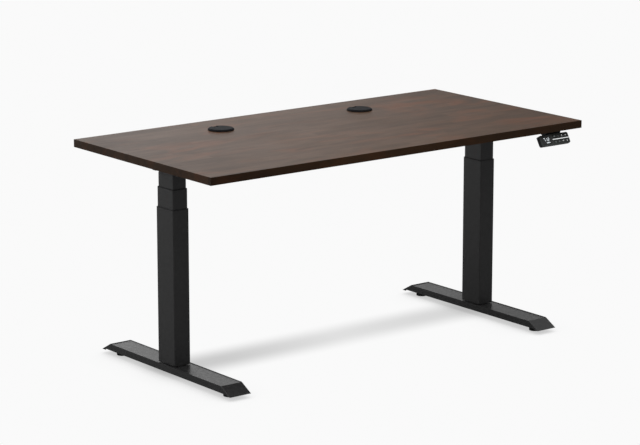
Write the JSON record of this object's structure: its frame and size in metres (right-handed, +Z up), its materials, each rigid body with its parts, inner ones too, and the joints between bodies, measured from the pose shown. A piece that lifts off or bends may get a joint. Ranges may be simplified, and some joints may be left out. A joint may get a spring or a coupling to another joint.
{
  "type": "height-adjustable standing desk",
  "caption": "Rectangular desk top on a telescopic lifting frame with T feet, cable grommets, a control box and a handset under the front edge.",
  "frame": {"origin": "on the floor, under the middle of the desk top", "axes": "+X to the right along the desk, +Y to the back edge, +Z up; the user sits at -Y"},
  "size_m": [1.5, 0.75, 0.7175],
  "materials": {
    "walnut_laminate": "satin walnut-grain laminate with a dark edge band",
    "powder_coat": "satin black powder coat",
    "black_nylon": "fine moulded texture",
    "glide_rubber": "matt",
    "screw_steel": "rolled thread, oiled",
    "bronze": "machined",
    "cast_aluminium": "as cast",
    "motor_black": "black electro coat",
    "cable_sheath": "PVC sheath",
    "case_plastic": "moulded ABS",
    "circuit_board": "solder resist",
    "gloss_panel": "gloss front panel",
    "display_glass": "gloss smoked display window",
    "key_plastic": "satin keycap"
  },
  "bodies": {
    "base": {"left_foot": "powder_coat", "left_outer_tube": "powder_coat", "left_outer_collar": "black_nylon", "left_solid_screw": "screw_steel", "right_foot": "powder_coat", "right_outer_tube": "powder_coat", "right_outer_collar": "black_nylon", "right_solid_screw": "screw_steel"},
    "upper": {"desktop": "walnut_laminate", "front_rail": "powder_coat", "rear_rail": "powder_coat", "control_case": "case_plastic", "control_lid": "powder_coat", "control_board": "circuit_board", "mains_inlet": "case_plastic", "handset_panel": "gloss_panel", "handset_display": "display_glass", "handset_case": "case_plastic", "handset_board": "circuit_board", "handset_lead": "cable_sheath", "left_grommet_liner": "black_nylon", "left_inner_tube": "powder_coat", "left_travelling_nut": "bronze", "left_gearbox": "cast_aluminium", "left_motor": "motor_black", "left_end_frame": "powder_coat", "left_side_bracket": "powder_coat", "left_motor_lead": "cable_sheath", "right_grommet_liner": "black_nylon", "right_inner_tube": "powder_coat", "right_travelling_nut": "bronze", "right_gearbox": "cast_aluminium", "right_motor": "motor_black", "right_end_frame": "powder_coat", "right_side_bracket": "powder_coat", "right_motor_lead": "cable_sheath"},
    "left_middle": {"left_middle_tube": "powder_coat", "left_middle_collar": "black_nylon"},
    "left_drive": {"left_worm_wheel": "bronze", "left_spline_tube": "screw_steel"},
    "left_screw": {"left_hollow_screw": "screw_steel"},
    "left_cap": {"left_grommet_cap": "black_nylon"},
    "left_front_levelling_glide": {"left_front_glide": "glide_rubber"},
    "left_rear_levelling_glide": {"left_rear_glide": "glide_rubber"},
    "right_middle": {"right_middle_tube": "powder_coat", "right_middle_collar": "black_nylon"},
    "right_drive": {"right_worm_wheel": "bronze", "right_spline_tube": "screw_steel"},
    "right_screw": {"right_hollow_screw": "screw_steel"},
    "right_cap": {"right_grommet_cap": "black_nylon"},
    "right_front_levelling_glide": {"right_front_glide": "glide_rubber"},
    "right_rear_levelling_glide": {"right_rear_glide": "glide_rubber"},
    "button_timer_key": {"button_timer": "key_plastic"},
    "button_1_key": {"button_1": "key_plastic"},
    "button_2_key": {"button_2": "key_plastic"},
    "button_up_key": {"button_up": "key_plastic"},
    "button_menu_key": {"button_menu": "key_plastic"},
    "button_3_key": {"button_3": "key_plastic"},
    "button_4_key": {"button_4": "key_plastic"},
    "button_down_key": {"button_down": "key_plastic"}
  },
  "joints": [
    {"name": "desk_lift", "type": "slide", "parent": "base", "child": "upper", "axis": [0, 0, 1], "range_m": [-0.0775, 0.5725]},
    {"name": "left_middle_slide", "type": "slide", "parent": "base", "child": "left_middle", "axis": [0, 0, 1], "range_m": [-0.03875, 0.28625]},
    {"name": "right_middle_slide", "type": "slide", "parent": "base", "child": "right_middle", "axis": [0, 0, 1], "range_m": [-0.03875, 0.28625]},
    {"name": "left_wheel_turn", "type": "hinge", "parent": "upper", "child": "left_drive", "pos_m": [-0.631, 0, 0.663], "axis": [0, 0, 1], "range_deg": [-1744, 12882]},
    {"name": "left_screw_turn", "type": "hinge", "parent": "left_middle", "child": "left_screw", "pos_m": [-0.631, 0, 0.1118], "axis": [0, 0, 1], "range_deg": [-1744, 12882]},
    {"name": "right_wheel_turn", "type": "hinge", "parent": "upper", "child": "right_drive", "pos_m": [0.631, 0, 0.663], "axis": [0, 0, 1], "range_deg": [-1744, 12882]},
    {"name": "right_screw_turn", "type": "hinge", "parent": "right_middle", "child": "right_screw", "pos_m": [0.631, 0, 0.1118], "axis": [0, 0, 1], "range_deg": [-1744, 12882]},
    {"name": "left_front_glide_level", "type": "slide", "parent": "base", "child": "left_front_levelling_glide", "axis": [0, 0, -1], "range_m": [0, 0.01]},
    {"name": "left_rear_glide_level", "type": "slide", "parent": "base", "child": "left_rear_levelling_glide", "axis": [0, 0, -1], "range_m": [0, 0.01]},
    {"name": "right_front_glide_level", "type": "slide", "parent": "base", "child": "right_front_levelling_glide", "axis": [0, 0, -1], "range_m": [0, 0.01]},
    {"name": "right_rear_glide_level", "type": "slide", "parent": "base", "child": "right_rear_levelling_glide", "axis": [0, 0, -1], "range_m": [0, 0.01]},
    {"name": "left_cap_turn", "type": "hinge", "parent": "upper", "child": "left_cap", "pos_m": [-0.2865, 0.219, 0.7125], "axis": [0, 0, 1], "continuous": true},
    {"name": "right_cap_turn", "type": "hinge", "parent": "upper", "child": "right_cap", "pos_m": [0.2865, 0.219, 0.7125], "axis": [0, 0, 1], "continuous": true},
    {"name": "button_timer_press", "type": "slide", "parent": "upper", "child": "button_timer_key", "axis": [0, 0.8607, -0.509], "range_m": [0, 0.0008], "stiffness_N_per_m": 800, "springref_m": -0.0002},
    {"name": "button_1_press", "type": "slide", "parent": "upper", "child": "button_1_key", "axis": [0, 0.8607, -0.509], "range_m": [0, 0.0008], "stiffness_N_per_m": 800, "springref_m": -0.0002},
    {"name": "button_2_press", "type": "slide", "parent": "upper", "child": "button_2_key", "axis": [0, 0.8607, -0.509], "range_m": [0, 0.0008], "stiffness_N_per_m": 800, "springref_m": -0.0002},
    {"name": "button_up_press", "type": "slide", "parent": "upper", "child": "button_up_key", "axis": [0, 0.8607, -0.509], "range_m": [0, 0.0008], "stiffness_N_per_m": 800, "springref_m": -0.0002},
    {"name": "button_menu_press", "type": "slide", "parent": "upper", "child": "button_menu_key", "axis": [0, 0.8607, -0.509], "range_m": [0, 0.0008], "stiffness_N_per_m": 800, "springref_m": -0.0002},
    {"name": "button_3_press", "type": "slide", "parent": "upper", "child": "button_3_key", "axis": [0, 0.8607, -0.509], "range_m": [0, 0.0008], "stiffness_N_per_m": 800, "springref_m": -0.0002},
    {"name": "button_4_press", "type": "slide", "parent": "upper", "child": "button_4_key", "axis": [0, 0.8607, -0.509], "range_m": [0, 0.0008], "stiffness_N_per_m": 800, "springref_m": -0.0002},
    {"name": "button_down_press", "type": "slide", "parent": "upper", "child": "button_down_key", "axis": [0, 0.8607, -0.509], "range_m": [0, 0.0008], "stiffness_N_per_m": 800, "springref_m": -0.0002}
  ],
  "couplings": [
    {"joint": "left_middle_slide", "follows": "desk_lift", "ratio": 0.5},
    {"joint": "right_middle_slide", "follows": "desk_lift", "ratio": 0.5},
    {"joint": "left_wheel_turn", "follows": "desk_lift", "rad_per_m": 392.7},
    {"joint": "left_screw_turn", "follows": "desk_lift", "rad_per_m": 392.7},
    {"joint": "right_wheel_turn", "follows": "desk_lift", "rad_per_m": 392.7},
    {"joint": "right_screw_turn", "follows": "desk_lift", "rad_per_m": 392.7}
  ]
}
